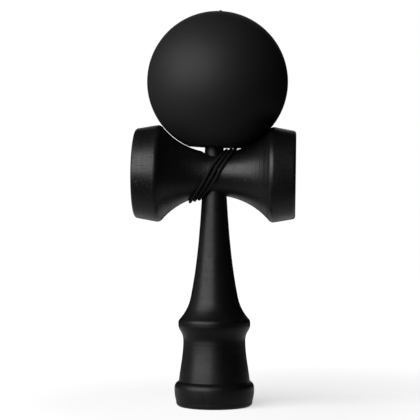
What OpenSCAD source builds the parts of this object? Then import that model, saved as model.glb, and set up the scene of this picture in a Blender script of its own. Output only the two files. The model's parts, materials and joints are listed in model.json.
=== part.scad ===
// Kendama: a turned handle with a spike and a base cup, a cross-piece with two cups,
// and a bored ball that sits on the spike and is tied on by a string wound round the cross-piece.
// Millimetres. +Z is up along the handle, +X points to the small cup, and the foot stands on Z = 0.

/* [Handle] */
// Radius of the ring that the handle stands on
foot_ring_r = 15.1; // [14.6:0.1:15.6]
// Radius where the foot's rounded lower edge ends
foot_edge_r = 16.35; // [16:0.05:16.6]
// Height of the foot's rounded lower edge
foot_edge_h = 2.4; // [2:0.1:3]
// Greatest radius of the foot
foot_r = 17; // [16.7:0.1:18]
// Height of the foot's fullest point above its rounded edge
foot_full_h = 4.8; // [4:0.1:6]
// Height from the fullest point to the crease above the foot
foot_shoulder_h = 3.4; // [3:0.1:4.5]
// Radius at the crease above the foot
crease_r = 15.15; // [14.5:0.05:15.8]
// Height of the grip from the crease to its narrowest point
grip_h = 17; // [14:0.5:22]
// Radius of the grip at its narrowest point
grip_r = 13.25; // [12.6:0.05:13.9]
// Height of the hollow between the grip and the collar
hollow_h = 4.4; // [4:0.1:5.5]
// Radius where the hollow turns into the collar
hollow_r = 14.6; // [14.2:0.05:14.9]
// Height of the collar's lower half
collar_low_h = 2.4; // [2:0.1:3.5]
// Greatest radius of the collar
collar_r = 15.35; // [15.1:0.05:16]
// Height of the collar's upper half
collar_top_h = 2.4; // [2:0.1:3]
// Radius where the collar turns into the flare
flare_r = 14.8; // [14.5:0.05:15]
// Height of the flare above the collar
flare_h = 9.5; // [8:0.1:12]
// Radius where the flare turns into the neck
neck_r = 10.05; // [9:0.05:11]
// Radius of the neck where it enters the cross-piece
seat_r = 5.3; // [5:0.05:5.6]
// Radius of the spike where it leaves the cross-piece
stem_r = 4.15; // [3.8:0.05:4.5]
// Radius of the spike's rounded tip
tip_r = 2.4; // [2:0.1:3]
// Height of the spike above the cross-piece
spike_h = 34.4; // [30:0.2:35]
// Radius of the base cup at its mouth
base_cup_r = 13; // [11:0.1:13.5]
// Depth of the base cup
base_cup_depth = 6; // [5:0.1:7]

/* [Cross-piece] */
// Height of the cross-piece's axis above the ground
cross_z = 98.65; // [92:0.05:106]
// How far the cross-piece leans to the small cup's side, in degrees
cross_lean = 0.9; // [0:0.1:1.5]
// Radius of the waist
waist_r = 9.15; // [8.6:0.05:9.6]
// Distance of the waist from the handle's axis, towards the small cup
waist_shift = 0.75; // [0:0.05:1]
// Length of the big cup's side, from the handle's axis
big_l = 33.9; // [32:0.1:37]
// Radius of the big cup's ridge, before it is rounded
big_ridge_r = 20.95; // [20.3:0.05:21.6]
// Radius of the big cup's rim, before it is rounded
big_rim_r = 19.1; // [18.6:0.05:19.8]
// Radius of the big cup at its mouth
big_cup_r = 17.2; // [16.5:0.1:17.4]
// Depth of the big cup
big_cup_depth = 8.5; // [7:0.1:10]
// Length of the small cup's side, from the handle's axis
small_l = 34.8; // [33:0.1:38]
// Radius of the small cup's ridge, before it is rounded
small_ridge_r = 20.6; // [20.1:0.05:21.3]
// Radius of the small cup's rim, before it is rounded
small_rim_r = 18.7; // [18.2:0.05:19.4]
// Radius of the small cup at its mouth
small_cup_r = 16.2; // [15:0.1:16.8]
// Depth of the small cup
small_cup_depth = 7; // [5.5:0.1:8.5]
// Rounding of the rims
rim_round = 1.4; // [1:0.1:1.6]
// Rounding of the ridges
ridge_round = 2.4; // [1.5:0.1:2.6]
// Clearance of the handle in the cross-piece
seat_clear = 0.15; // [0.05:0.05:0.3]
// Radius of the string hole in front of the handle, which takes the knot
front_hole_r = 2; // [1.95:0.05:2.2]
// Radius of the string hole behind the handle
string_hole_r = 2.3; // [2.1:0.05:2.6]
// Bevel at the string hole's mouth behind the handle
string_bevel = 1; // [0.8:0.1:1.2]

/* [Ball] */
// Radius of the ball
ball_r = 30.2; // [30:0.1:30.4]
// How much wider the cross-piece is hollowed than the ball
nest_clear = 0.15; // [0.15:0.05:0.6]
// Distance of the ball's centre from the handle's axis, towards the small cup
ball_shift = 1.4; // [1.1:0.05:1.6]
// How far the ball's top leans to the front, in degrees
ball_lean = 2.5; // [0:0.5:3]
// How far the ball's top leans to the small cup's side, in degrees
ball_roll = 2.2; // [0:0.2:2.4]
// Radius of the spike hole
spike_hole_r = 10.6; // [10.4:0.1:10.9]
// Height of the spike hole's ceiling above the ball's centre
ceiling_h = 16; // [15:0.5:18]
// Rounding of the spike hole's mouth
mouth_round = 0.9; // [0.6:0.1:1.2]
// Radius of the string hole in the top of the ball
top_hole_r = 1.6; // [1.4:0.1:2]
// Rounding of the string hole's mouth
top_hole_round = 3.2; // [2.8:0.1:3.4]

/* [String] */
// Diameter of the string
string_d = 1.2; // [1.1:0.1:1.4]
// Turns of the string round the cross-piece
turns = 3; // [2:1:3]
// Distance between two turns, along the cross-piece
turn_pitch = 2.05; // [2.05:0.05:2.4]
// Gap between the string and what it lies on
string_gap = 0.2; // [0.15:0.05:0.3]
// Gap between the winding and the spike or the neck
wrap_gap = 0.4; // [0.35:0.05:0.6]
// Radius of the hole through the handle
cross_hole_r = 1.1; // [1:0.05:1.3]
// Radius of the knots
knot_r = 1.7; // [1.5:0.05:1.8]
// Radius of the bead inside the ball
bead_r = 3.5; // [3:0.1:4]
// Radius of the hole through the bead
bead_hole_r = 1; // [0.9:0.05:1.2]

/* [Hidden] */
$fn = 96;
overrun = 1;
seat_gap = 0.3;
wood = [0.05, 0.05, 0.05];
paint = [0.07, 0.07, 0.075];
yarn = [0.03, 0.03, 0.032];

// Slopes of the handle's outline, as radius gained per unit of height
foot_edge_slope_shares = [1.9, 0.28];
crease_slope_shares = [-1.6, -0.115];
hollow_slope_share = 0.65;
flare_slope_share = -0.9;
neck_slope_share = -0.2;
seat_slope_share = -0.06;
curve_steps = 10;

// Heights of the handle's stations
full_z = foot_edge_h + foot_full_h;
crease_z = full_z + foot_shoulder_h;
grip_z = crease_z + grip_h;
hollow_z = grip_z + hollow_h;
collar_z = hollow_z + collar_low_h;
flare_z = collar_z + collar_top_h;
neck_z = flare_z + flare_h;
seat_z = cross_z - waist_r;
stem_z = cross_z + waist_r;
tip_z = stem_z + spike_h;

// Hollow of the cross-piece that the ball nests in, as an arc in its length and radius
nest_r = ball_r + nest_clear;
nest_h = waist_r + nest_r;
big_ridge_x = waist_shift - sqrt(pow(nest_r, 2) - pow(nest_h - big_ridge_r, 2));
small_ridge_x = waist_shift + sqrt(pow(nest_r, 2) - pow(nest_h - small_ridge_r, 2));
ball_z = cross_z + nest_h;

// Places along the ball's own axis, from its centre
bead_h = ceiling_h - seat_gap - bead_r;
bead_knot_flat_h = bead_h - bead_r - string_gap;
knot_flat_share = 0.76;
string_r = string_d / 2;

function cubic(z0, r0, s0, z1, r1, s1) =
    [for (i = [0:curve_steps - 1])
        let (t = i / curve_steps, h = z1 - z0, u = 1 - t)
        [r0 * u * u * (1 + 2 * t) + h * s0 * t * u * u + r1 * t * t * (3 - 2 * t) - h * s1 * t * t * u,
         z0 + h * t]];

function handle_outline() = concat(
    [[0, 0]],
    cubic(0, foot_ring_r, foot_edge_slope_shares[0], foot_edge_h, foot_edge_r, foot_edge_slope_shares[1]),
    cubic(foot_edge_h, foot_edge_r, foot_edge_slope_shares[1], full_z, foot_r, 0),
    cubic(full_z, foot_r, 0, crease_z, crease_r, crease_slope_shares[0]),
    cubic(crease_z, crease_r, crease_slope_shares[1], grip_z, grip_r, 0),
    cubic(grip_z, grip_r, 0, hollow_z, hollow_r, hollow_slope_share),
    cubic(hollow_z, hollow_r, hollow_slope_share, collar_z, collar_r, 0),
    cubic(collar_z, collar_r, 0, flare_z, flare_r, flare_slope_share),
    cubic(flare_z, flare_r, flare_slope_share, neck_z, neck_r, neck_slope_share),
    cubic(neck_z, neck_r, neck_slope_share, seat_z, seat_r, seat_slope_share),
    [[seat_r, seat_z], [stem_r, stem_z]],
    [for (i = [0:curve_steps]) let (a = 90 * i / curve_steps)
        [tip_r * cos(a), tip_z - tip_r + tip_r * sin(a)]]);

// Radius of the handle between its seat and the spike's root
function stem_at(z) = seat_r + (stem_r - seat_r) * (z - seat_z) / (stem_z - seat_z);
function unit(v) = v / norm(v);
function cup_sphere_r(mouth_r, depth) = (pow(mouth_r, 2) + pow(depth, 2)) / (2 * depth);

// Corner of an outline at q, between p and s, rounded to radius r
function corner(p, q, s, r) =
    let (u = unit(p - q), v = unit(s - q), half = acos(u * v) / 2, mid = unit(u + v),
         c = q + mid * r / sin(half), turn = 180 - 2 * half, a0 = -mid,
         side = sign(u.x * v.y - u.y * v.x))
    [for (i = [0:curve_steps]) let (a = side * turn * (0.5 - i / curve_steps))
        c + r * [a0.x * cos(a) - a0.y * sin(a), a0.x * sin(a) + a0.y * cos(a)]];

// Points of the hollow between the ridges, with the length first
nest_steps = 28;
function nest_radius(x) = nest_h - sqrt(pow(nest_r, 2) - pow(x - waist_shift, 2));
function nest_points() =
    [for (i = [0:nest_steps]) let (x = big_ridge_x + (small_ridge_x - big_ridge_x) * i / nest_steps)
        [x, nest_radius(x)]];

function cross_outline() =
    let (nest = nest_points(), big_rim = [-big_l, big_rim_r], small_rim = [small_l, small_rim_r])
    concat(
        [[-big_l, 0]],
        corner([-big_l, 0], big_rim, nest[0], rim_round),
        corner(big_rim, nest[0], nest[1], ridge_round),
        [for (i = [1:nest_steps - 1]) nest[i]],
        corner(nest[nest_steps - 1], nest[nest_steps], small_rim, ridge_round),
        corner(nest[nest_steps], small_rim, [small_l, 0], rim_round),
        [[small_l, 0]]);

// Places in the leaning cross-piece and in the leaning ball, as places of the whole
function in_cross(p) = [p.x * cos(cross_lean) + p.z * sin(cross_lean), p.y,
                        cross_z - p.x * sin(cross_lean) + p.z * cos(cross_lean)];
function on_ball_axis(h) = [ball_shift + h * cos(ball_lean) * sin(ball_roll), -h * sin(ball_lean),
                            ball_z + h * cos(ball_lean) * cos(ball_roll)];

// Winding: angle 0 is the top, 90 the front, 180 the bottom and 270 the back.
// It passes the spike on the small cup's side and the neck on the big cup's side,
// and each turn lies beside the last, further from the small cup. Over and under the waist,
// where they run straight across, the turns lie closer than on the front and the back.
front_x = 0.8;
back_start_x = 0.2;
squeeze_share = 0.05;
flat_share = 0.08;
wrap_start = -68;
last_turn_angle = 236;
wrap_end = 360 * (turns - 1) + last_turn_angle;
ring_step = 15;
first_turn_share = 1.25;
top_pitch = turn_pitch * (1 - squeeze_share);
top_x = stem_r + string_r + wrap_gap + top_pitch;
bottom_x = -(seat_r + string_r + wrap_gap) - top_pitch / 2;
back_x = back_start_x - first_turn_share * turn_pitch;
wrap_mean = (top_x + bottom_x + front_x + back_x) / 4;
wrap_second = (top_x + bottom_x - front_x - back_x) / 4;
wrap_side = (front_x - back_x) / 2;
wrap_swing = (top_x - bottom_x) / 2;
function turn_share(a) = first_turn_share - (a + 90) / 360;
function wrap_x(a) = wrap_mean + wrap_second * cos(2 * a) + wrap_side * sin(a)
    + wrap_swing * ((1 - flat_share) * cos(a) + flat_share * cos(3 * a))
    + turn_pitch * turn_share(a) * (1 - squeeze_share * cos(2 * a));
function wrap_point(a) = let (x = wrap_x(a), r = nest_radius(x) + string_r + string_gap)
    in_cross([x, -r * sin(a), r * cos(a)]);
function wrap_heading(a) = unit(wrap_point(a + 1) - wrap_point(a - 1));

// Lead of the string from its knot in front of the handle, through both, to the winding
anchor_flat_y = -(stem_at(cross_z) + string_gap);
lead_inset = 3.5;
lead_out_pull = 9;
lead_over_pull = 10;
lead_steps = 10;
lead_from = in_cross([0, waist_r - lead_inset, 0]);
lead_to = wrap_point(wrap_start);
function bend(p, u, q, v, n) =
    [for (i = [1:n]) let (t = i / n, w = 1 - t)
        p * w * w * (1 + 2 * t) + u * t * w * w + q * t * t * (3 - 2 * t) - v * t * t * w];
winding_end = wrap_point(wrap_end) + wrap_heading(wrap_end) * string_d;
winding_path = concat(
    [[0, anchor_flat_y, cross_z], [0, anchor_flat_y + string_d, cross_z], [0, 0, cross_z], lead_from],
    bend(lead_from, [0, lead_out_pull, 0], lead_to, wrap_heading(wrap_start) * lead_over_pull, lead_steps),
    [for (a = [wrap_start + ring_step:ring_step:wrap_end - ring_step / 2]) wrap_point(a)],
    [wrap_point(wrap_end), winding_end]);

// Free stretch of the string: up behind the ball to its widest part, then over it and into its top
riser_points = [[-6, 14.5, 101.5], [-3.5, 20.6, 111.5], [-1.8, 25.95, 120.6], [-1.4, 30.2, 130.15]];
widest_point = [-1.2, 31.3, 138.2];
tail_points = [[-0.4, 29.4, 148.9], [0.7, 24.05, 158.25], [1.7, 16.2, 165], [2.3, 9.45, 168], [2.5, 5.9, 168.9],
               [2.58, 3.46, 169.17], [2.57, 1.83, 168.78], [2.53, 0.48, 167.79], [2.48, -0.4, 166.35],
               [2.41, -0.65, 164.69], [2.25, -0.51, 160.13]];
free_route = concat([winding_end], riser_points, [widest_point], tail_points,
                    [on_ball_axis(bead_h + bead_r), on_ball_axis(bead_knot_flat_h + string_d),
                     on_ball_axis(bead_knot_flat_h)]);
ring_gap_share = 2.2;
ring_gap = ring_gap_share * string_d;
last_leg = len(free_route) - 2;
widest_leg = len(riser_points) + 1;
function leg_heading(i) =
    i == 0 ? wrap_heading(wrap_end) * norm(free_route[1] - free_route[0])
    : i > last_leg ? free_route[i] - free_route[i - 1]
    : let (a = free_route[i] - free_route[i - 1], b = free_route[i + 1] - free_route[i])
      unit(unit(a) * norm(b) + unit(b) * norm(a));
function leg(i) =
    let (p = free_route[i], q = free_route[i + 1], l = norm(q - p), n = max(1, ceil(l / ring_gap)))
    bend(p, unit(leg_heading(i)) * l, q, unit(leg_heading(i + 1)) * l, n);
riser_path = concat([winding_end], [for (i = [0:widest_leg - 1]) each leg(i)]);
tail_path = concat([widest_point], [for (i = [widest_leg:last_leg]) each leg(i)]);

// Rings of a tube along a path, with the headings of its two ends given
function headings(path, first, last) =
    [for (i = [0:len(path) - 1])
        i == 0 ? first : i == len(path) - 1 ? last : unit(path[i + 1] - path[i - 1])];
winding_sides = 6;
free_sides = 8;
first_side = [1, 0.2, 0.1];
function sideways(n, t) = unit(n - t * (n * t));
function normals(along) =
    [for (i = 0, n = sideways(first_side, along[0]); i < len(along);
          i = i + 1, n = i < len(along) ? sideways(n, along[i]) : n) n];

module tube(path, first, last, sides) {
    along = headings(path, first, last);
    across = normals(along);
    rings = len(path);
    points = [for (i = [0:rings - 1]) for (k = [0:sides - 1])
        path[i] + string_r * (cos(360 * k / sides) * across[i] + sin(360 * k / sides) * cross(along[i], across[i]))];
    walls = [for (i = [0:rings - 2]) for (k = [0:sides - 1])
        let (a = i * sides + k, b = i * sides + (k + 1) % sides)
        each [[a, a + sides, b], [b, a + sides, b + sides]]];
    near_end = [for (k = [1:sides - 2]) [0, k, k + 1]];
    base = (rings - 1) * sides;
    far_end = [for (k = [1:sides - 2]) [base, base + k + 1, base + k]];
    polyhedron(points, concat(walls, near_end, far_end));
}

// Least gap between one turn of the winding and the next, measured on points along both
measure_step = 4;
measured = [for (a = [wrap_start:measure_step:wrap_end]) wrap_point(a)];
half_turn = floor(180 / measure_step);
least_gap = min([for (i = [0:len(measured) - half_turn - 1])
    min([for (j = [i + half_turn:len(measured) - 1]) norm(measured[j] - measured[i])])]) - string_d;
function run(path) = len(path) < 2 ? 0 : sum([for (i = [1:len(path) - 1]) norm(path[i] - path[i - 1])]);
function sum(list, i = 0) = i >= len(list) ? 0 : list[i] + sum(list, i + 1);
echo(least_gap_between_turns = least_gap);
echo(string_length = run(winding_path) + run(riser_path) + run(tail_path));

module in_ball() {
    translate([ball_shift, 0, ball_z]) rotate([ball_lean, ball_roll, 0]) children();
}

module cup_cut(mouth_r, depth) {
    r = cup_sphere_r(mouth_r, depth);
    translate([0, 0, depth - r]) sphere(r);
}

// Cutter for the mouth of a hole that leaves the ball upwards, rounded into the ball's skin
module round_mouth(hole_r, round_r) {
    lip_r = hole_r + round_r;
    lip_h = sqrt(pow(ball_r - round_r, 2) - pow(lip_r, 2));
    rotate_extrude() difference() {
        translate([0, lip_h]) square([lip_r, ball_r + overrun - lip_h]);
        translate([lip_r, lip_h]) circle(round_r);
    }
}

// Knot tied in the string: a lump with a flat where the string leaves it, upwards
module knot() {
    difference() {
        translate([0, 0, -knot_r * knot_flat_share]) sphere(knot_r);
        translate([-knot_r, -knot_r, 0]) cube([2 * knot_r, 2 * knot_r, knot_r]);
    }
}

module handle() {
    color(wood) difference() {
        rotate_extrude() polygon(handle_outline());
        cup_cut(base_cup_r, base_cup_depth);
        translate([0, 0, cross_z]) rotate([90, 0, 0])
            cylinder(r = cross_hole_r, h = 2 * (seat_r + overrun), center = true);
    }
}

module cup_crosspiece() {
    color(wood) difference() {
        translate([0, 0, cross_z]) rotate([0, cross_lean, 0]) difference() {
            rotate([0, 90, 0]) rotate_extrude() polygon([for (p = cross_outline()) [p.y, p.x]]);
            translate([-big_l, 0, 0]) rotate([0, 90, 0]) cup_cut(big_cup_r, big_cup_depth);
            translate([small_l, 0, 0]) rotate([0, -90, 0]) cup_cut(small_cup_r, small_cup_depth);
            rotate([90, 0, 0]) cylinder(r = front_hole_r, h = waist_r + overrun);
            rotate([-90, 0, 0]) cylinder(r = string_hole_r, h = waist_r + overrun);
            rotate([-90, 0, 0]) translate([0, 0, waist_r - string_bevel])
                cylinder(r1 = string_hole_r, r2 = string_hole_r + string_bevel + overrun,
                         h = string_bevel + overrun);
        }
        translate([0, 0, seat_z - overrun])
            cylinder(r = seat_r + seat_clear, h = stem_z - seat_z + 2 * overrun);
    }
}

module ball() {
    color(paint) in_ball() difference() {
        sphere(ball_r);
        translate([0, 0, -ball_r]) cylinder(r = spike_hole_r, h = ball_r + ceiling_h);
        mirror([0, 0, 1]) round_mouth(spike_hole_r, mouth_round);
        cylinder(r = top_hole_r, h = ball_r + overrun);
        round_mouth(top_hole_r, top_hole_round);
    }
}

module string_winding() {
    color(yarn) tube(winding_path, [0, 1, 0], wrap_heading(wrap_end), winding_sides);
}

module string_riser() {
    color(yarn) tube(riser_path, wrap_heading(wrap_end), unit(leg_heading(widest_leg)), free_sides);
}

module string_tail() {
    color(yarn) tube(tail_path, unit(leg_heading(widest_leg)), unit(leg_heading(last_leg + 1)), free_sides);
}

module string_bead() {
    color(wood) in_ball() translate([0, 0, bead_h]) difference() {
        sphere(bead_r);
        cylinder(r = bead_hole_r, h = 2 * (bead_r + overrun), center = true);
    }
}

module bead_knot() {
    color(yarn) in_ball() translate([0, 0, bead_knot_flat_h]) knot();
}

module anchor_knot() {
    color(yarn) translate([0, anchor_flat_y, cross_z]) rotate([-90, 0, 0]) knot();
}

handle();
cup_crosspiece();
ball();
string_winding();
string_riser();
string_tail();
string_bead();
bead_knot();
anchor_knot();
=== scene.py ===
"""Kendama: finishes for the turned wood, a braided string with its knots and bead, and a studio stage."""

import json
import math

import bmesh
import bpy
from mathutils import Euler, Matrix, Vector


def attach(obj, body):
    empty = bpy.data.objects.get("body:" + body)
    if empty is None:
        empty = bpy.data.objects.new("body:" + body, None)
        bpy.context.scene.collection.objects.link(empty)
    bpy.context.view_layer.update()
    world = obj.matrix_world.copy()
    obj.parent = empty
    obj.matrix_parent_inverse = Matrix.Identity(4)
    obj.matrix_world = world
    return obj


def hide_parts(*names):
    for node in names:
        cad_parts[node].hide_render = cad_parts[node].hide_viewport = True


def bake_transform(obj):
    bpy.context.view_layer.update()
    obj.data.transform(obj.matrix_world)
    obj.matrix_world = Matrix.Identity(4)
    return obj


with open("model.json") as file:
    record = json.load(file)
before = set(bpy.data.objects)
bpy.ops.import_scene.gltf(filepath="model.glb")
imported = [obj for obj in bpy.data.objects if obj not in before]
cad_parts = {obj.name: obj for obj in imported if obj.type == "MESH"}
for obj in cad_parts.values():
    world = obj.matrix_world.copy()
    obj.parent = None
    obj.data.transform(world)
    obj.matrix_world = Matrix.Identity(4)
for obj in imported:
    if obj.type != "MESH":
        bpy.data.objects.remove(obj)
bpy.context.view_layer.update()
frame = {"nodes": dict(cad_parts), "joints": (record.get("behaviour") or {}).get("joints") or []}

bl_info = {
    "name": "Kendama",
    "version": (1, 0, 0),
    "blender": (4, 5, 0),
    "location": "3D View > Sidebar > Kendama",
    "description": "Dresses a kendama's solids with wood, lacquer and a braided string",
    "category": "Object",
}

MM = 0.001
SPIN = next(joint for joint in frame["joints"] if joint["name"] == "ball_spin")
BALL_CENTRE = Vector(SPIN["pos_m"])
BALL_AXIS = Vector(SPIN["axis"]).normalized()

# Sizes of the solids that the string follows, in millimetres and degrees
CROSS_Z = 98.65
CROSS_LEAN = math.radians(0.9)
WAIST_R = 9.15
WAIST_SHIFT = 0.75
NEST_R = 30.35
SEAT_R = 5.3
STEM_R = 4.15
SOLID_STRING_R = 0.6
STRING_GAP = 0.2
WRAP_GAP = 0.4
TURN_PITCH = 2.05
SQUEEZE_SHARE = 0.05
FLAT_SHARE = 0.08
FIRST_TURN_SHARE = 1.25
WRAP_START = -68
WRAP_END = 956
FRONT_X = 0.8
BACK_START_X = 0.2
LEAD_INSET = 3.5
LEAD_OUT_PULL = 9
LEAD_OVER_PULL = 10
KNOT_R = 1.7
KNOT_FLAT_SHARE = 0.76
BEAD_R = 3.5
BEAD_HOLE_R = 1
BEAD_H = 12.2
BEAD_KNOT_FLAT_H = 8.5
ANCHOR_FLAT_Y = -(SEAT_R + STEM_R) / 2 - STRING_GAP
RISER_POINTS = [(-6, 14.5, 101.5), (-3.5, 20.6, 111.5), (-1.8, 25.95, 120.6), (-1.4, 30.2, 130.15)]
TAIL_POINTS = [
    (-1.2, 31.3, 138.2), (-0.4, 29.4, 148.9), (0.7, 24.05, 158.25), (1.7, 16.2, 165), (2.3, 9.45, 168),
    (2.5, 5.9, 168.9), (2.58, 3.46, 169.17), (2.57, 1.83, 168.78), (2.53, 0.48, 167.79),
    (2.48, -0.4, 166.35), (2.41, -0.65, 164.69), (2.25, -0.51, 160.13),
]

# Steps of the string's route: places on its lead, degrees on the winding, millimetres on the free legs
LEAD_STEPS = 24
WRAP_STEP = 4
LEG_STEP = 0.8
LEAST_LEG_STEPS = 2

# Round of the string: smoothness of its tube, and how far a ring may be from round before it is refused
STRING_ROUND_STEPS = 14
ROUND_SHARE = 0.3

# Knots: segments of the lump, its strands and plies, and the cut end below it, in millimetres and degrees
KNOT_SEGMENTS = 56
KNOT_RINGS = 36
KNOT_CORE_SHARE = 0.86
KNOT_STRAND_SHARE = 0.14
KNOT_STRAND_SLOPE = 2.4
KNOT_PLY_SHARE = 0.02
KNOT_PLIES_DOWN = 9
KNOT_PLIES_ROUND = 5
CUT_END_SEGMENTS = 20
CUT_END_LENGTH = 2.2
CUT_END_SPLAY_SHARE = 1.1
CUT_END_LEAN = 158
CUT_END_OFFSET = 0.35
CUT_END_DEPTH_SHARE = 1.55

# Bead: rounding of its bore's edges in millimetres, and steps of its outline and turning
BEAD_EASE = 0.35
BEAD_ARC_STEPS = 24
BEAD_EASE_STEPS = 7
BEAD_TURN_STEPS = 64
MERGE_REACH = 1e-6

# Wood grain: noise scales per metre, how far the grain is drawn out along Z, and what counts as a mark
STREAK_SCALE = 320.0
FIBRE_SCALE = 1900.0
PORE_SCALE = 2600.0
LONG_DRAW = (1, 1, 0.05)
SHORT_DRAW = (1, 1, 0.11)
STREAK_RANGE = (0.32, 0.7)
PORE_RANGE = (0.6, 0.72)
WOOD_AXIS_SHIFT = (0.004, 0.003, 0)

# Turning marks: noise scales per metre of the fine and wide rings, and how they are blended
FINE_RING_SCALE = 2600.0
WIDE_RING_SCALE = 620.0
WIDE_RING_SHARE = 0.45
RING_BAND_RANGE = (0.35, 0.68)

# Handling: how strongly hands and dust show, with noise scales per metre
SMUDGE_RANGE = (0.3, 0.7)
DUST_SCALE = 1500.0
SPECK_RANGE = (0.66, 0.8)
WOOD_PATCH_SCALE = 70.0
BALL_PATCH_SCALE = 45.0
YARN_PATCH_SCALE = 220.0

# Finish of the wood: how far rings, pores, fibres and hands change its colour, roughness and relief
RING_COLOUR_SHARE = 0.35
PORE_COLOUR_SHARE = 0.8
HAND_ROUGHNESS = 0.1
RING_ROUGHNESS = -0.06
PORE_ROUGHNESS = 0.18
FIBRE_RELIEF = 0.45
PORE_RELIEF = -0.5
WOOD_BUMP_STRENGTH = 0.55

# Finish of the ball: edge between skin and bore in metres, dust, and the lacquer's fine relief
SKIN_BLUR = 0.0003
DUST_COLOUR = (0.05, 0.05, 0.05)
DUST_SHARE = 0.25
BALL_ROUGHNESS_SPREAD = -0.06
BALL_ROUGHNESS_LIFT = 0.03
PEEL_SCALE = 900.0
FIBRE_SHOW = 0.12
BALL_BUMP_STRENGTH = 0.25
BALL_BUMP_HEIGHT = 0.00003

# Finish of the yarn: fuzz and fine waves on the strands, rubbed high places, gloss and sheen
FUZZ_SCALE = 5200.0
WAVES_ROUND = 48
WAVE_SLANT = 0.7
WAVE_SHARE = 0.25
HIGH_RANGE = (0.5, 0.6)
YARN_ROUGHNESS = 0.6
FUZZ_ROUGHNESS = 0.25
YARN_BUMP_STRENGTH = 0.6
YARN_BUMP_HEIGHT = 0.00004
YARN_SHINE = 0.3
YARN_SHEEN = 0.03
YARN_SHEEN_ROUGHNESS = 0.5

# Stage: places in metres, turns in degrees
CAMERA_PLACE = (0.033028, -0.534136, 0.068145)
CAMERA_TURN = (91.6203, 0, 3.7355)
SENSOR_WIDTH = 36
CLIP_NEAR = 0.01
CLIP_FAR = 20
KEY_AIM = (-0.58, -0.7, 0.37)
KEY_TARGET = (0, 0, 0.1)
BACK_RANGE = (0.95, 1.0)
SIDE_WHITE = (-0.98, -0.1, 0.15)
SIDE_RANGE = (0.6, 0.9)
FLOOR_SIZE = 6.0
FLOOR_GLOW = 0.64
GLOW_RANGE = (0.06, 0.3)
MIRROR_DEPTH_RANGE = (-0.1, 0.15)
MIRROR_REACH_RANGE = (0.28, 0.14)
WHITE = (1, 1, 1, 1)


class KendamaStringSettings(bpy.types.PropertyGroup):
    """Sizes and colour of the string and its knots"""

    radius: bpy.props.FloatProperty(
        name="Radius", description="Radius of the braided string", default=0.00064, unit="LENGTH")
    braid_depth: bpy.props.FloatProperty(
        name="Braid Depth", description="Height of the braid's strands", default=0.00007, unit="LENGTH")
    braid_lay: bpy.props.FloatProperty(
        name="Braid Lay", description="Length in which a strand runs once round", default=0.0072,
        unit="LENGTH")
    strands: bpy.props.IntProperty(
        name="Strands", description="Strands that run each way round the braid", default=4)
    ring_step: bpy.props.FloatProperty(
        name="Ring Step", description="Distance between the rings of the string", default=0.00022,
        unit="LENGTH")
    colour: bpy.props.FloatVectorProperty(
        name="Colour", description="Colour of the yarn", default=(0.0045, 0.0045, 0.0048), subtype="COLOR")
    worn_colour: bpy.props.FloatVectorProperty(
        name="Worn Colour", description="Colour of the rubbed strands", default=(0.011, 0.011, 0.0115),
        subtype="COLOR")


class KendamaWoodSettings(bpy.types.PropertyGroup):
    """Colours and finish of the stained wood"""

    stain: bpy.props.FloatVectorProperty(
        name="Stain", description="Colour of the black stain", default=(0.003, 0.0029, 0.0028),
        subtype="COLOR")
    streak: bpy.props.FloatVectorProperty(
        name="Streak", description="Colour where the grain takes less stain",
        default=(0.0075, 0.0073, 0.0071), subtype="COLOR")
    pore: bpy.props.FloatVectorProperty(
        name="Pore", description="Colour of the open pores", default=(0.002, 0.002, 0.002), subtype="COLOR")
    roughness: bpy.props.FloatProperty(
        name="Roughness", description="Roughness of the satin finish", default=0.36, subtype="FACTOR")
    ring_height: bpy.props.FloatProperty(
        name="Ring Height", description="Height of the handle's turning marks", default=0.00003,
        unit="LENGTH")
    cross_ring_height: bpy.props.FloatProperty(
        name="Cross-piece Ring Height", description="Height of the cross-piece's turning marks",
        default=0.0001, unit="LENGTH")
    shine: bpy.props.FloatProperty(
        name="Shine", description="Strength of the handle's and bead's reflections", default=0.42,
        subtype="FACTOR")
    cross_shine: bpy.props.FloatProperty(
        name="Cross-piece Shine", description="Strength of the cross-piece's reflections", default=0.62,
        subtype="FACTOR")


class KendamaBallSettings(bpy.types.PropertyGroup):
    """Colour and finish of the ball"""

    lacquer: bpy.props.FloatVectorProperty(
        name="Lacquer", description="Colour of the matte lacquer", default=(0.0148, 0.0148, 0.0153),
        subtype="COLOR")
    rubbed: bpy.props.FloatVectorProperty(
        name="Rubbed", description="Colour of the lacquer where hands rub it",
        default=(0.0178, 0.0178, 0.0183), subtype="COLOR")
    roughness: bpy.props.FloatProperty(
        name="Roughness", description="Roughness of the lacquer", default=0.6, subtype="FACTOR")
    shine: bpy.props.FloatProperty(
        name="Shine", description="Strength of the lacquer's reflections", default=0.46, subtype="FACTOR")
    skin_radius: bpy.props.FloatProperty(
        name="Skin Radius", description="Distance from the centre where the lacquer ends", default=0.0287,
        unit="LENGTH")


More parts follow.
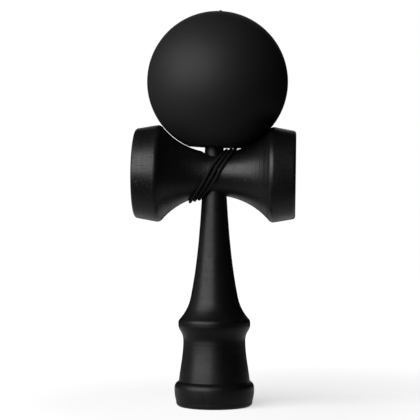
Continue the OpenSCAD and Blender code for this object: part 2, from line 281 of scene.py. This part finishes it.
class KendamaStageSettings(bpy.types.PropertyGroup):
    """Light, floor and camera"""

    key_power: bpy.props.FloatProperty(
        name="Key Power", description="Power of the large soft light", default=10.0, unit="POWER")
    key_width: bpy.props.FloatProperty(
        name="Key Width", description="Width of the large soft light", default=1.35, unit="LENGTH")
    key_height: bpy.props.FloatProperty(
        name="Key Height", description="Height of the large soft light", default=0.85, unit="LENGTH")
    ambient: bpy.props.FloatProperty(
        name="Ambient", description="Strength of the light from all round", default=0.012)
    floor_colour: bpy.props.FloatVectorProperty(
        name="Floor Colour", description="Colour of the pale floor", default=(0.95, 0.95, 0.95),
        subtype="COLOR")
    floor_bounce: bpy.props.FloatVectorProperty(
        name="Floor Bounce", description="Colour of the light that the floor throws back on the kendama",
        default=(0.07, 0.07, 0.07), subtype="COLOR")
    back_height: bpy.props.FloatProperty(
        name="Back Height", description="Degrees above the horizon of the white that shows in the finish",
        default=20.0)
    side_white: bpy.props.FloatProperty(
        name="Side White", description="Strength of the white at the left that shows in the finish",
        default=0.15)
    lens: bpy.props.FloatProperty(
        name="Lens", description="Focal length of the camera in millimetres", default=107.27)


def in_cross(x, y, z):
    """A place in the leaning cross-piece, as a place of the whole, in millimetres"""
    return Vector((x * math.cos(CROSS_LEAN) + z * math.sin(CROSS_LEAN), y,
                   CROSS_Z - x * math.sin(CROSS_LEAN) + z * math.cos(CROSS_LEAN)))


def on_ball_axis(height):
    """A place on the ball's own axis, in millimetres"""
    return BALL_CENTRE / MM + BALL_AXIS * height


def wrap_point(degrees):
    """A place on the winding's middle line; 0 is the top, 90 the front, 180 the bottom and 270 the back"""
    top_pitch = TURN_PITCH * (1 - SQUEEZE_SHARE)
    top_x = STEM_R + SOLID_STRING_R + WRAP_GAP + top_pitch
    bottom_x = -(SEAT_R + SOLID_STRING_R + WRAP_GAP) - top_pitch / 2
    back_x = BACK_START_X - FIRST_TURN_SHARE * TURN_PITCH
    mean = (top_x + bottom_x + FRONT_X + back_x) / 4
    second = (top_x + bottom_x - FRONT_X - back_x) / 4
    a = math.radians(degrees)
    share = FIRST_TURN_SHARE - (degrees + 90) / 360
    x = mean + second * math.cos(2 * a) + (FRONT_X - back_x) / 2 * math.sin(a)
    x += (top_x - bottom_x) / 2 * ((1 - FLAT_SHARE) * math.cos(a) + FLAT_SHARE * math.cos(3 * a))
    x += TURN_PITCH * share * (1 - SQUEEZE_SHARE * math.cos(2 * a))
    cove = WAIST_R + NEST_R - math.sqrt(NEST_R ** 2 - (x - WAIST_SHIFT) ** 2)
    r = cove + SOLID_STRING_R + STRING_GAP
    return in_cross(x, -r * math.sin(a), r * math.cos(a))


def wrap_heading(degrees):
    """Direction of the winding at an angle"""
    return (wrap_point(degrees + 1) - wrap_point(degrees - 1)).normalized()


def bend(p, u, q, v, steps):
    """Places on the curve from p to q that leaves along u and arrives along v"""
    places = []
    for i in range(1, steps + 1):
        t = i / steps
        w = 1 - t
        places.append(p * w * w * (1 + 2 * t) + u * t * w * w + q * t * t * (3 - 2 * t) - v * t * t * w)
    return places


def string_route():
    """The string's middle line from its knot at the handle to its knot in the ball, in millimetres"""
    start = Vector((0, ANCHOR_FLAT_Y, CROSS_Z))
    lead_from = in_cross(0, WAIST_R - LEAD_INSET, 0)
    lead_to = wrap_point(WRAP_START)
    route = [start, Vector((0, 0, CROSS_Z)), lead_from]
    route += bend(lead_from, Vector((0, LEAD_OUT_PULL, 0)), lead_to,
                  wrap_heading(WRAP_START) * LEAD_OVER_PULL, LEAD_STEPS)
    route += [wrap_point(angle) for angle in range(WRAP_START + WRAP_STEP, WRAP_END + 1, WRAP_STEP)]
    legs = [wrap_point(WRAP_END) + wrap_heading(WRAP_END) * 2 * SOLID_STRING_R]
    legs += [Vector(point) for point in RISER_POINTS + TAIL_POINTS]
    legs += [on_ball_axis(BEAD_H + BEAD_R), on_ball_axis(BEAD_KNOT_FLAT_H)]
    headings = [wrap_heading(WRAP_END)]
    for before, here, after in zip(legs, legs[1:], legs[2:]):
        a = here - before
        b = after - here
        headings.append((a.normalized() * b.length + b.normalized() * a.length).normalized())
    headings.append((legs[-1] - legs[-2]).normalized())
    route.append(legs[0])
    for i in range(len(legs) - 1):
        reach = (legs[i + 1] - legs[i]).length
        steps = max(LEAST_LEG_STEPS, math.ceil(reach / LEG_STEP))
        route += bend(legs[i], headings[i] * reach, legs[i + 1], headings[i + 1] * reach, steps)
    return route


def even_route(route, step):
    """The same line with places an even step apart, in metres"""
    places = [route[0] * MM]
    left = step
    for a, b in zip(route, route[1:]):
        a = a * MM
        b = b * MM
        reach = (b - a).length
        done = 0.0
        while reach - done >= left:
            done += left
            places.append(a.lerp(b, done / reach))
            left = step
        left -= reach - done
    places.append(route[-1] * MM)
    return places


def along_ball_axis(height):
    """Brings Z to the ball's axis, with the origin at a height on it in millimetres"""
    turn = BALL_AXIS.to_track_quat("Z", "Y").to_matrix().to_4x4()
    return Matrix.Translation(on_ball_axis(height) * MM) @ turn


def new_piece(name, bm, material, smooth=True):
    """Turns a bmesh into an object with one material"""
    mesh = bpy.data.meshes.new(name)
    bm.to_mesh(mesh)
    bm.free()
    for polygon in mesh.polygons:
        polygon.use_smooth = smooth
    piece = bpy.data.objects.new(name, mesh)
    bpy.context.scene.collection.objects.link(piece)
    mesh.materials.append(material)
    return piece


def dress(node_name, material):
    """Gives a solid of the frame a material in place of its plain one"""
    mesh = frame["nodes"][node_name].data
    mesh.materials.clear()
    mesh.materials.append(material)


def set_inputs(tree, node, inputs):
    """Links or sets a node's inputs by name or number"""
    for key, value in inputs.items():
        if isinstance(value, bpy.types.NodeSocket):
            tree.links.new(value, node.inputs[key])
        else:
            node.inputs[key].default_value = value


def add(tree, kind, inputs=None, **settings):
    """Adds a node with its settings and inputs"""
    node = tree.nodes.new(kind)
    for name, value in settings.items():
        setattr(node, name, value)
    set_inputs(tree, node, inputs or {})
    return node


def fresh_tree(owner):
    """An empty node tree for a material or a world"""
    owner.use_nodes = True
    owner.node_tree.nodes.clear()
    return owner.node_tree


def noise(tree, place, scale, detail, roughness, distortion=0.0):
    """Output of a noise over the surface"""
    inputs = {"Vector": place, "Scale": scale, "Detail": detail, "Roughness": roughness,
              "Distortion": distortion}
    return add(tree, "ShaderNodeTexNoise", inputs).outputs[0]


def line_noise(tree, position, scale, detail, roughness):
    """Output of a noise along one axis"""
    inputs = {"W": position, "Scale": scale, "Detail": detail, "Roughness": roughness}
    return add(tree, "ShaderNodeTexNoise", inputs, noise_dimensions="1D").outputs[0]


def map_range(tree, value, span, low=0.0, high=1.0):
    """Value that goes from low to high as its input crosses the span"""
    inputs = {"Value": value, "From Min": span[0], "From Max": span[1], "To Min": low, "To Max": high}
    return add(tree, "ShaderNodeMapRange", inputs).outputs[0]


def math_node(tree, operation, a, b=0.0, c=0.0):
    """Output of a Math node"""
    return add(tree, "ShaderNodeMath", {0: a, 1: b, 2: c}, operation=operation).outputs[0]


def mix_colour(tree, factor, a, b):
    """Colour that goes from a to b as the factor goes from 0 to 1"""
    def given(value):
        return value if isinstance(value, bpy.types.NodeSocket) else (*value, 1.0)
    return add(tree, "ShaderNodeMix", {0: factor, 6: given(a), 7: given(b)}, data_type="RGBA").outputs[2]


def bump(tree, height, strength, distance):
    """Normal of a surface with fine relief"""
    inputs = {"Height": height, "Strength": strength, "Distance": distance}
    return add(tree, "ShaderNodeBump", inputs).outputs[0]


def new_group(name, inputs, outputs):
    """Starts a shader node group with named sockets"""
    tree = bpy.data.node_groups.new(name, "ShaderNodeTree")
    for label, kind, default in inputs:
        socket = tree.interface.new_socket(label, in_out="INPUT", socket_type=kind)
        if default is not None:
            socket.default_value = default
    for label in outputs:
        tree.interface.new_socket(label, in_out="OUTPUT", socket_type="NodeSocketFloat")
    return tree, tree.nodes.new("NodeGroupInput").outputs, tree.nodes.new("NodeGroupOutput")


def wood_grain_group():
    """Streaks, fibres and pores of wood whose grain runs along Z"""
    tree, given, out = new_group(
        "Wood Grain", [("Vector", "NodeSocketVector", None)], ["Streak", "Fibre", "Pore"])
    long = add(tree, "ShaderNodeMapping", {"Vector": given["Vector"], "Scale": LONG_DRAW}).outputs[0]
    short = add(tree, "ShaderNodeMapping", {"Vector": given["Vector"], "Scale": SHORT_DRAW}).outputs[0]
    streak = noise(tree, long, STREAK_SCALE, detail=5.0, roughness=0.6, distortion=0.4)
    fibre = noise(tree, long, FIBRE_SCALE, detail=3.0, roughness=0.65)
    pore = noise(tree, short, PORE_SCALE, detail=2.0, roughness=0.5)
    set_inputs(tree, out, {
        "Streak": map_range(tree, streak, STREAK_RANGE),
        "Fibre": fibre,
        "Pore": map_range(tree, pore, PORE_RANGE),
    })
    return tree


def turning_marks_group():
    """Rings that a turning tool leaves at each place along a piece's axis"""
    tree, given, out = new_group(
        "Turning Marks", [("Position", "NodeSocketFloat", 0.0)], ["Height", "Band"])
    fine = line_noise(tree, given["Position"], FINE_RING_SCALE, detail=2.0, roughness=0.7)
    wide = line_noise(tree, given["Position"], WIDE_RING_SCALE, detail=3.0, roughness=0.6)
    both = add(tree, "ShaderNodeMix", {0: WIDE_RING_SHARE, 2: fine, 3: wide}, data_type="FLOAT").outputs[0]
    set_inputs(tree, out, {"Height": both, "Band": map_range(tree, wide, RING_BAND_RANGE)})
    return tree


def handling_group():
    """Soft patches where hands have polished or dulled a surface, and small specks"""
    tree, given, out = new_group(
        "Handling",
        [("Vector", "NodeSocketVector", None), ("Patch Size", "NodeSocketFloat", WOOD_PATCH_SCALE)],
        ["Smudge", "Speck"])
    patch = noise(tree, given["Vector"], given["Patch Size"], detail=5.0, roughness=0.55, distortion=0.6)
    dust = noise(tree, given["Vector"], DUST_SCALE, detail=2.0, roughness=0.5)
    set_inputs(tree, out, {
        "Smudge": map_range(tree, patch, SMUDGE_RANGE),
        "Speck": map_range(tree, dust, SPECK_RANGE),
    })
    return tree


def use_group(tree, name, inputs):
    """Outputs of one of the shared node groups, which is built when it is first asked for"""
    makers = {
        "Wood Grain": wood_grain_group,
        "Turning Marks": turning_marks_group,
        "Handling": handling_group,
    }
    group = bpy.data.node_groups.get(name) or makers[name]()
    return add(tree, "ShaderNodeGroup", inputs, node_tree=group).outputs


def new_material(name):
    """An empty material with a Principled shader; gives the material, its tree and the shader"""
    material = bpy.data.materials.new(name)
    tree = fresh_tree(material)
    shader = tree.nodes.new("ShaderNodeBsdfPrincipled")
    add(tree, "ShaderNodeOutputMaterial", {"Surface": shader.outputs[0]})
    return material, tree, shader


def stained_wood(name, settings, turn, centre, ring_height, shine):
    """Black stained wood turned about the axis that the turn brings to Z"""
    material, tree, shader = new_material(name)
    place = add(tree, "ShaderNodeTexCoord").outputs["Object"]
    moved = add(tree, "ShaderNodeVectorMath", {0: place, 1: tuple(centre)}, operation="SUBTRACT").outputs[0]
    along = add(tree, "ShaderNodeMapping", {"Vector": moved, "Rotation": turn}).outputs[0]
    position = add(tree, "ShaderNodeSeparateXYZ", {0: along}).outputs["Z"]
    grain = use_group(tree, "Wood Grain", {"Vector": along})
    marks = use_group(tree, "Turning Marks", {"Position": position})
    hands = use_group(tree, "Handling", {"Vector": place})
    streaks = mix_colour(tree, grain["Streak"], settings.stain, settings.streak)
    ring_share = math_node(tree, "MULTIPLY", marks["Band"], RING_COLOUR_SHARE)
    rings = mix_colour(tree, ring_share, streaks, settings.streak)
    pore_share = math_node(tree, "MULTIPLY", grain["Pore"], PORE_COLOUR_SHARE)
    dull = math_node(tree, "MULTIPLY_ADD", hands["Smudge"], HAND_ROUGHNESS, settings.roughness)
    ringed = math_node(tree, "MULTIPLY_ADD", marks["Band"], RING_ROUGHNESS, dull)
    fibre = math_node(tree, "MULTIPLY_ADD", grain["Fibre"], FIBRE_RELIEF, marks["Height"])
    height = math_node(tree, "MULTIPLY_ADD", grain["Pore"], PORE_RELIEF, fibre)
    set_inputs(tree, shader, {
        "Base Color": mix_colour(tree, pore_share, rings, settings.pore),
        "Roughness": math_node(tree, "MULTIPLY_ADD", grain["Pore"], PORE_ROUGHNESS, ringed),
        "Normal": bump(tree, height, WOOD_BUMP_STRENGTH, ring_height),
        "Specular IOR Level": shine,
    })
    return material


class KENDAMA_OT_stain_wood(bpy.types.Operator):
    """Stain the handle and the cross-piece black, with grain and turning marks"""

    bl_idname = "kendama.stain_wood"
    bl_label = "Stain Wood"

    def execute(self, context):
        settings = context.scene.kendama_wood
        upright = (0, 0, 0)
        lying = (0, math.radians(-90) - CROSS_LEAN, 0)
        cross_centre = (0, 0, CROSS_Z * MM)
        dress("handle", stained_wood("Handle Wood", settings, upright, WOOD_AXIS_SHIFT,
                                     settings.ring_height, settings.shine))
        dress("cup_crosspiece", stained_wood("Cross-piece Wood", settings, lying, cross_centre,
                                             settings.cross_ring_height, settings.cross_shine))
        return {"FINISHED"}


class KENDAMA_OT_lacquer_ball(bpy.types.Operator):
    """Give the ball a matte black skin, and bare stained wood in its bore"""

    bl_idname = "kendama.lacquer_ball"
    bl_label = "Lacquer Ball"

    def execute(self, context):
        settings = context.scene.kendama_ball
        wood = context.scene.kendama_wood
        material, tree, shader = new_material("Ball Lacquer")
        place = add(tree, "ShaderNodeTexCoord").outputs["Object"]
        reach = add(tree, "ShaderNodeVectorMath", {0: place, 1: tuple(BALL_CENTRE)}, operation="DISTANCE")
        edge = (settings.skin_radius - SKIN_BLUR, settings.skin_radius + SKIN_BLUR)
        skin = map_range(tree, reach.outputs["Value"], edge)
        hands = use_group(tree, "Handling", {"Vector": place, "Patch Size": BALL_PATCH_SCALE})
        grain = use_group(tree, "Wood Grain", {"Vector": place})
        inside = mix_colour(tree, grain["Streak"], wood.stain, wood.streak)
        worn = mix_colour(tree, hands["Smudge"], settings.lacquer, settings.rubbed)
        specks = math_node(tree, "MULTIPLY", hands["Speck"], DUST_SHARE)
        dusty = mix_colour(tree, specks, worn, DUST_COLOUR)
        least_rough = settings.roughness + BALL_ROUGHNESS_LIFT
        rough = math_node(tree, "MULTIPLY_ADD", hands["Smudge"], BALL_ROUGHNESS_SPREAD, least_rough)
        peel = noise(tree, place, PEEL_SCALE, detail=3.0, roughness=0.5)
        relief = math_node(tree, "MULTIPLY_ADD", grain["Fibre"], FIBRE_SHOW, peel)
        set_inputs(tree, shader, {
            "Base Color": mix_colour(tree, skin, inside, dusty),
            "Roughness": rough,
            "Normal": bump(tree, relief, BALL_BUMP_STRENGTH, BALL_BUMP_HEIGHT),
            "Specular IOR Level": settings.shine,
        })
        dress("ball", material)
        return {"FINISHED"}


def yarn_material(name, settings, uv_map=True):
    """Black braided yarn, with fibres along its strands and rubbed high places"""
    material, tree, shader = new_material(name)
    coordinates = add(tree, "ShaderNodeTexCoord").outputs
    place = coordinates["Object"]
    hands = use_group(tree, "Handling", {"Vector": place, "Patch Size": YARN_PATCH_SCALE})
    fuzz = noise(tree, place, FUZZ_SCALE, detail=3.0, roughness=0.7)
    height = fuzz
    if uv_map:
        parts = add(tree, "ShaderNodeSeparateXYZ", {0: coordinates["UV"]}).outputs
        turn = math_node(tree, "MULTIPLY_ADD", parts["Y"], WAVE_SLANT, parts["X"])
        waves = math_node(tree, "SINE", math_node(tree, "MULTIPLY", turn, math.tau * WAVES_ROUND))
        height = math_node(tree, "MULTIPLY_ADD", waves, WAVE_SHARE, fuzz)
    high = add(tree, "ShaderNodeNewGeometry").outputs["Pointiness"]
    share = math_node(tree, "MULTIPLY", map_range(tree, high, HIGH_RANGE), hands["Smudge"])
    set_inputs(tree, shader, {
        "Base Color": mix_colour(tree, share, settings.colour, settings.worn_colour),
        "Roughness": math_node(tree, "MULTIPLY_ADD", fuzz, FUZZ_ROUGHNESS, YARN_ROUGHNESS),
        "Normal": bump(tree, height, YARN_BUMP_STRENGTH, YARN_BUMP_HEIGHT),
        "Specular IOR Level": YARN_SHINE,
        "Sheen Weight": YARN_SHEEN,
        "Sheen Roughness": YARN_SHEEN_ROUGHNESS,
    })
    return material


class KENDAMA_OT_braid_string(bpy.types.Operator):
    """Lay the braided string from the handle, round the cross-piece, and over the ball to its bead"""

    bl_idname = "kendama.braid_string"
    bl_label = "Braid String"

    def execute(self, context):
        settings = context.scene.kendama_string
        route = even_route(string_route(), settings.ring_step)
        mesh = self.round_tube(context, route, settings)
        rings = len(route)
        sides = len(mesh.vertices) // rings
        if sides * rings != len(mesh.vertices):
            raise RuntimeError(f"the string has {len(mesh.vertices)} points on {rings} rings")
        self.raise_braid(mesh, route, sides, settings)
        self.map_braid(mesh, sides, settings)
        self.close_ends(mesh)
        mesh.materials.clear()
        mesh.materials.append(yarn_material("String Yarn", settings))
        string = bpy.data.objects.new("braided_string", mesh)
        context.scene.collection.objects.link(string)
        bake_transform(string)
        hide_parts("string_winding", "string_riser", "string_tail")
        return {"FINISHED"}

    def round_tube(self, context, route, settings):
        """A round tube with one ring at each place of the route"""
        curve = bpy.data.curves.new("String Line", "CURVE")
        curve.dimensions = "3D"
        curve.fill_mode = "FULL"
        curve.bevel_depth = settings.radius
        curve.bevel_resolution = STRING_ROUND_STEPS
        spline = curve.splines.new("POLY")
        spline.points.add(len(route) - 1)
        for point, place in zip(spline.points, route):
            point.co = (*place, 1.0)
        line = bpy.data.objects.new("string_line", curve)
        context.scene.collection.objects.link(line)
        context.view_layer.update()
        mesh = bpy.data.meshes.new_from_object(line.evaluated_get(context.evaluated_depsgraph_get()))
        bpy.data.objects.remove(line)
        return mesh

    def raise_braid(self, mesh, route, sides, settings):
        """Raises crossing strands on the tube"""
        for ring, middle in enumerate(route):
            turn = math.tau * ring * settings.ring_step / settings.braid_lay
            for side in range(sides):
                vertex = mesh.vertices[ring * sides + side]
                out = vertex.co - middle
                if abs(out.length - settings.radius) > ROUND_SHARE * settings.radius:
                    raise RuntimeError(f"ring {ring} of the string isn't round its line")
                angle = math.tau * side / sides
                one_way = math.cos(settings.strands * (angle - turn))
                other_way = math.cos(settings.strands * (angle + turn))
                lift = settings.braid_depth * (one_way * other_way) / settings.radius
                vertex.co = middle + out * (1 + lift)

    def map_braid(self, mesh, sides, settings):
        """Maps the tube round and along, in girths"""
        layer = mesh.uv_layers.new(name="Round And Along")
        girth = math.tau * settings.radius
        for polygon in mesh.polygons:
            rounds = [mesh.loops[i].vertex_index % sides for i in polygon.loop_indices]
            seam = max(rounds) - min(rounds) > sides // 2
            for i, side in zip(polygon.loop_indices, rounds):
                ring = mesh.loops[i].vertex_index // sides
                across = side + sides if seam and side < sides // 2 else side
                layer.data[i].uv = (across / sides, ring * settings.ring_step / girth)

    def close_ends(self, mesh):
        """Closes the tube's two ends with flat faces"""
        bm = bmesh.new()
        bm.from_mesh(mesh)
        bmesh.ops.holes_fill(bm, edges=[edge for edge in bm.edges if edge.is_boundary], sides=0)
        bmesh.ops.recalc_face_normals(bm, faces=bm.faces)
        bm.to_mesh(mesh)
        bm.free()
        for polygon in mesh.polygons:
            polygon.use_smooth = len(polygon.vertices) == 4


class KENDAMA_OT_tie_knots(bpy.types.Operator):
    """Tie the string's two end knots, each with a short cut end"""

    bl_idname = "kendama.tie_knots"
    bl_label = "Tie Knots"

    def execute(self, context):
        settings = context.scene.kendama_string
        yarn = yarn_material("Knot Yarn", settings, uv_map=False)
        at_handle = Matrix.Translation(Vector((0, ANCHOR_FLAT_Y, CROSS_Z)) * MM)
        at_handle = at_handle @ Euler((math.radians(-90), 0, 0)).to_matrix().to_4x4()
        in_ball = along_ball_axis(BEAD_KNOT_FLAT_H)
        for name, node, body, place in (("knot_at_handle", "anchor_knot", "handle_body", at_handle),
                                        ("knot_in_ball", "bead_knot", "string_end", in_ball)):
            knot = new_piece(name, self.knot_shape(settings, place), yarn)
            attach(knot, body)
            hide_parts(node)
        return {"FINISHED"}

    def knot_shape(self, settings, place):
        """A tight lump of crossing strands under its string, with a cut end at its side"""
        bm = bmesh.new()
        bmesh.ops.create_uvsphere(bm, u_segments=KNOT_SEGMENTS, v_segments=KNOT_RINGS, radius=KNOT_R * MM)
        for vertex in bm.verts:
            direction = vertex.co.normalized()
            round_angle = math.atan2(direction.y, direction.x)
            slope = math.acos(max(-1.0, min(1.0, direction.z)))
            strand = math.sqrt(abs(math.sin(round_angle + KNOT_STRAND_SLOPE * slope)))
            ply = KNOT_PLY_SHARE * math.cos(KNOT_PLIES_DOWN * slope - KNOT_PLIES_ROUND * round_angle)
            size = KNOT_CORE_SHARE + KNOT_STRAND_SHARE * strand * math.sin(slope)
            vertex.co = vertex.co * (size + ply * math.sin(slope))
            vertex.co.z -= KNOT_R * KNOT_FLAT_SHARE * MM
        tail = bmesh.ops.create_cone(bm, cap_ends=True, segments=CUT_END_SEGMENTS, radius1=settings.radius,
                                     radius2=settings.radius * CUT_END_SPLAY_SHARE,
                                     depth=CUT_END_LENGTH * MM)["verts"]
        lean = Euler((0, math.radians(CUT_END_LEAN), 0)).to_matrix()
        end_place = Vector((CUT_END_OFFSET, 0, -KNOT_R * CUT_END_DEPTH_SHARE)) * MM
        bmesh.ops.rotate(bm, verts=tail, cent=(0, 0, 0), matrix=lean)
        bmesh.ops.translate(bm, verts=tail, vec=end_place)
        bmesh.ops.transform(bm, matrix=place, verts=bm.verts)
        bmesh.ops.recalc_face_normals(bm, faces=bm.faces)
        return bm


class KENDAMA_OT_turn_bead(bpy.types.Operator):
    """Turn the bead that the string is tied to inside the ball"""

    bl_idname = "kendama.turn_bead"
    bl_label = "Turn Bead"

    def execute(self, context):
        settings = context.scene.kendama_wood
        bm = bmesh.new()
        corners = [bm.verts.new((r * MM, 0, z * MM)) for r, z in self.outline()]
        edges = [bm.edges.new((a, b)) for a, b in zip(corners, corners[1:] + corners[:1])]
        bmesh.ops.spin(bm, geom=corners + edges, cent=(0, 0, 0), axis=(0, 0, 1), dvec=(0, 0, 0),
                       angle=math.tau, steps=BEAD_TURN_STEPS, use_merge=True)
        bmesh.ops.remove_doubles(bm, verts=bm.verts, dist=MERGE_REACH)
        bmesh.ops.recalc_face_normals(bm, faces=bm.faces)
        bmesh.ops.transform(bm, matrix=along_ball_axis(BEAD_H), verts=bm.verts)
        material = stained_wood("Bead Wood", settings, (0, 0, 0), on_ball_axis(BEAD_H) * MM,
                                settings.ring_height, settings.shine)
        bead = new_piece("turned_bead", bm, material)
        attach(bead, "string_end")
        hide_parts("string_bead")
        return {"FINISHED"}

    def outline(self):
        """Radius and height of each point round the bead's half section, with the bore's edges rounded"""
        ease_r = BEAD_HOLE_R + BEAD_EASE
        reach = math.sqrt((BEAD_R - BEAD_EASE) ** 2 - ease_r ** 2)
        edge = math.atan2(ease_r, reach)
        points = []
        for i in range(BEAD_ARC_STEPS + 1):
            angle = edge + (math.pi - 2 * edge) * i / BEAD_ARC_STEPS
            points.append((BEAD_R * math.sin(angle), BEAD_R * math.cos(angle)))
        for i in range(1, BEAD_EASE_STEPS + 1):
            angle = math.pi - edge + (edge + math.pi / 2) * i / BEAD_EASE_STEPS
            points.append((ease_r + BEAD_EASE * math.sin(angle), -reach + BEAD_EASE * math.cos(angle)))
        for i in range(BEAD_EASE_STEPS):
            angle = -math.pi / 2 + (math.pi / 2 + edge) * i / BEAD_EASE_STEPS
            points.append((ease_r + BEAD_EASE * math.sin(angle), reach + BEAD_EASE * math.cos(angle)))
        return points


def shown(tree, mask):
    """1 for rays from the camera and refracted rays, and the mask for mirrored rays"""
    path = add(tree, "ShaderNodeLightPath").outputs
    mirrored = math_node(tree, "MULTIPLY", path["Is Glossy Ray"], mask)
    direct = math_node(tree, "MAXIMUM", path["Is Camera Ray"], path["Is Transmission Ray"])
    return math_node(tree, "MAXIMUM", direct, mirrored)


def nearness(tree, way, direction):
    """How far a ray's way runs along a direction"""
    along = add(tree, "ShaderNodeVectorMath", {0: way, 1: direction}, operation="DOT_PRODUCT")
    return along.outputs["Value"]


class KENDAMA_OT_set_stage(bpy.types.Operator):
    """Set the pale floor, the soft light, the white surround and the camera"""

    bl_idname = "kendama.set_stage"
    bl_label = "Set Stage"

    def execute(self, context):
        settings = context.scene.kendama_stage
        scene = context.scene
        scene.view_settings.view_transform = "Standard"
        self.place_camera(scene, settings)
        self.place_key(scene, settings)
        self.surround(scene, settings)
        self.lay_floor(settings)
        return {"FINISHED"}

    def place_camera(self, scene, settings):
        """A long lens at the height of the handle's neck, in front"""
        data = bpy.data.cameras.new("Camera")
        data.lens = settings.lens
        data.sensor_width = SENSOR_WIDTH
        data.clip_start = CLIP_NEAR
        data.clip_end = CLIP_FAR
        camera = bpy.data.objects.new("Camera", data)
        camera.location = CAMERA_PLACE
        camera.rotation_euler = [math.radians(angle) for angle in CAMERA_TURN]
        scene.collection.objects.link(camera)
        scene.camera = camera

    def place_key(self, scene, settings):
        """One large soft light at the upper left, in front"""
        data = bpy.data.lights.new("Key", "AREA")
        data.energy = settings.key_power
        data.shape = "RECTANGLE"
        data.size = settings.key_width
        data.size_y = settings.key_height
        key = bpy.data.objects.new("Key", data)
        aim = Vector(KEY_AIM).normalized()
        key.location = Vector(KEY_TARGET) + aim
        key.rotation_euler = aim.to_track_quat("Z", "Y").to_euler()
        scene.collection.objects.link(key)

    def surround(self, scene, settings):
        """A white surround for the camera, mirrored by the finish from behind and from the left only"""
        world = bpy.data.worlds.new("Surround")
        scene.world = world
        tree = fresh_tree(world)
        way = add(tree, "ShaderNodeTexCoord").outputs["Generated"]
        upwards = math.radians(settings.back_height)
        back = nearness(tree, way, (0, math.cos(upwards), math.sin(upwards)))
        behind = map_range(tree, back, BACK_RANGE)
        beside = map_range(tree, nearness(tree, way, SIDE_WHITE), SIDE_RANGE, high=settings.side_white)
        mask = math_node(tree, "MAXIMUM", behind, beside)
        strength = map_range(tree, shown(tree, mask), (0.0, 1.0), low=settings.ambient)
        light = add(tree, "ShaderNodeBackground", {"Color": WHITE, "Strength": strength}).outputs[0]
        add(tree, "ShaderNodeOutputWorld", {"Surface": light})

    def lay_floor(self, settings):
        """A wide pale floor that keeps the shadow near the foot and goes white further off"""
        material = bpy.data.materials.new("Pale Floor")
        tree = fresh_tree(material)
        place = add(tree, "ShaderNodeTexCoord").outputs["Object"]
        reach = add(tree, "ShaderNodeVectorMath", {0: place}, operation="LENGTH").outputs["Value"]
        depth = add(tree, "ShaderNodeSeparateXYZ", {0: place}).outputs["Y"]
        glow = map_range(tree, reach, GLOW_RANGE, low=FLOOR_GLOW)
        under = map_range(tree, depth, MIRROR_DEPTH_RANGE)
        close = map_range(tree, reach, MIRROR_REACH_RANGE)
        mask = math_node(tree, "MULTIPLY", under, close)
        seen = math_node(tree, "MULTIPLY", glow, shown(tree, mask))
        white = add(tree, "ShaderNodeEmission", {"Color": WHITE, "Strength": seen}).outputs[0]
        camera_ray = add(tree, "ShaderNodeLightPath").outputs["Is Camera Ray"]
        colour = mix_colour(tree, camera_ray, settings.floor_bounce, settings.floor_colour)
        pale = add(tree, "ShaderNodeBsdfDiffuse", {"Color": colour}).outputs[0]
        both = add(tree, "ShaderNodeAddShader", {0: white, 1: pale}).outputs[0]
        add(tree, "ShaderNodeOutputMaterial", {"Surface": both})
        bm = bmesh.new()
        bmesh.ops.create_grid(bm, x_segments=2, y_segments=2, size=FLOOR_SIZE)
        floor = new_piece("floor", bm, material, smooth=False)


class KENDAMA_PT_pieces(bpy.types.Panel):
    """Lists the kendama's pieces and their settings"""

    bl_idname = "KENDAMA_PT_pieces"
    bl_label = "Kendama"
    bl_space_type = "VIEW_3D"
    bl_region_type = "UI"
    bl_category = "Kendama"

    def draw(self, context):
        for operator in OPERATORS:
            self.layout.operator(operator.bl_idname)
        for name in SETTINGS:
            box = self.layout.box()
            group = getattr(context.scene, name)
            for label in group.__annotations__:
                box.prop(group, label)


SETTINGS = {
    "kendama_string": KendamaStringSettings,
    "kendama_wood": KendamaWoodSettings,
    "kendama_ball": KendamaBallSettings,
    "kendama_stage": KendamaStageSettings,
}
OPERATORS = (
    KENDAMA_OT_set_stage,
    KENDAMA_OT_tie_knots,
    KENDAMA_OT_turn_bead,
    KENDAMA_OT_braid_string,
    KENDAMA_OT_stain_wood,
    KENDAMA_OT_lacquer_ball,
)
CLASSES = (*SETTINGS.values(), *OPERATORS, KENDAMA_PT_pieces)


def register():
    for cls in CLASSES:
        bpy.utils.register_class(cls)
    for name, group in SETTINGS.items():
        setattr(bpy.types.Scene, name, bpy.props.PointerProperty(type=group))


def unregister():
    for name in SETTINGS:
        delattr(bpy.types.Scene, name)
    for cls in reversed(CLASSES):
        bpy.utils.unregister_class(cls)


def main():
    register()
    bpy.ops.kendama.set_stage()
    bpy.ops.kendama.tie_knots()
    bpy.ops.kendama.turn_bead()
    bpy.ops.kendama.braid_string()
    bpy.ops.kendama.stain_wood()
    bpy.ops.kendama.lacquer_ball()


if __name__ == "__main__":
    main()
